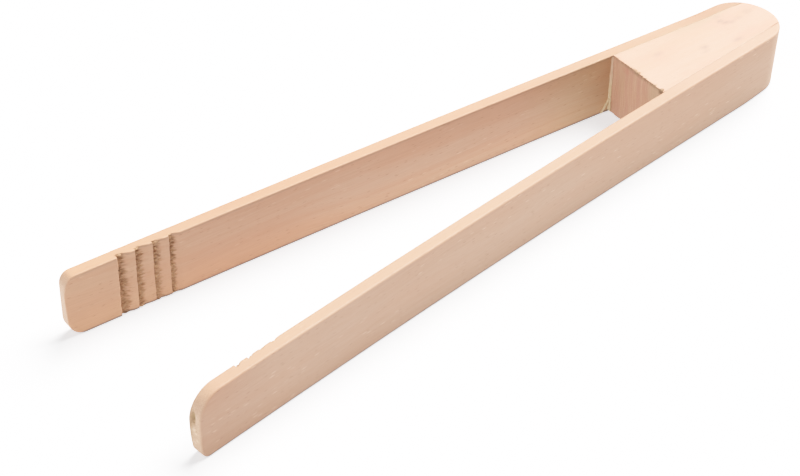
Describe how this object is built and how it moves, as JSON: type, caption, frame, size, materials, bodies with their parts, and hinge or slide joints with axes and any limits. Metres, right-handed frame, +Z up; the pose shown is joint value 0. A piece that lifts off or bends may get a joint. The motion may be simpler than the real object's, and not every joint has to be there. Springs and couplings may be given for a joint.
{
  "type": "wooden kitchen tongs",
  "caption": "Wooden spring tongs: two flat flexible arms glued to a tapered wedge block with a rounded tail, saw-tooth grooved jaws.",
  "frame": {"origin": "middle of the wedge block's underside, on the middle line between the arms at the block and 30 mm behind the block's front face", "axes": "+X towards the rounded tail, so the jaw tips are at -X; +Y towards the right arm; +Z up, across the arms' width"},
  "size_m": [0.2802, 0.0743, 0.023],
  "materials": {
    "arm_beech": "raw sanded beech, satin-matt",
    "block_beech": "raw sanded beech, satin-matt",
    "cured_glue": "dried wood glue"
  },
  "bodies": {
    "root": {"wedge_block": "block_beech", "left_arm_root": "arm_beech", "right_arm_root": "arm_beech", "left_glue_line": "cured_glue", "right_glue_line": "cured_glue", "left_glue_bead": "cured_glue", "right_glue_bead": "cured_glue"},
    "left_arm": {"left_arm_blade": "arm_beech"},
    "right_arm": {"right_arm_blade": "arm_beech"}
  },
  "joints": [
    {"name": "left_arm_flex", "type": "hinge", "parent": "root", "child": "left_arm", "pos_m": [-0.062, -0.01627, 0.0115], "axis": [0, 0, -1], "range_deg": [0, 10.05], "stiffness_Nm_per_rad": 23},
    {"name": "right_arm_flex", "type": "hinge", "parent": "root", "child": "right_arm", "pos_m": [-0.062, 0.01615, 0.0115], "axis": [0, 0, 1], "range_deg": [0, 10.15], "stiffness_Nm_per_rad": 23}
  ]
}
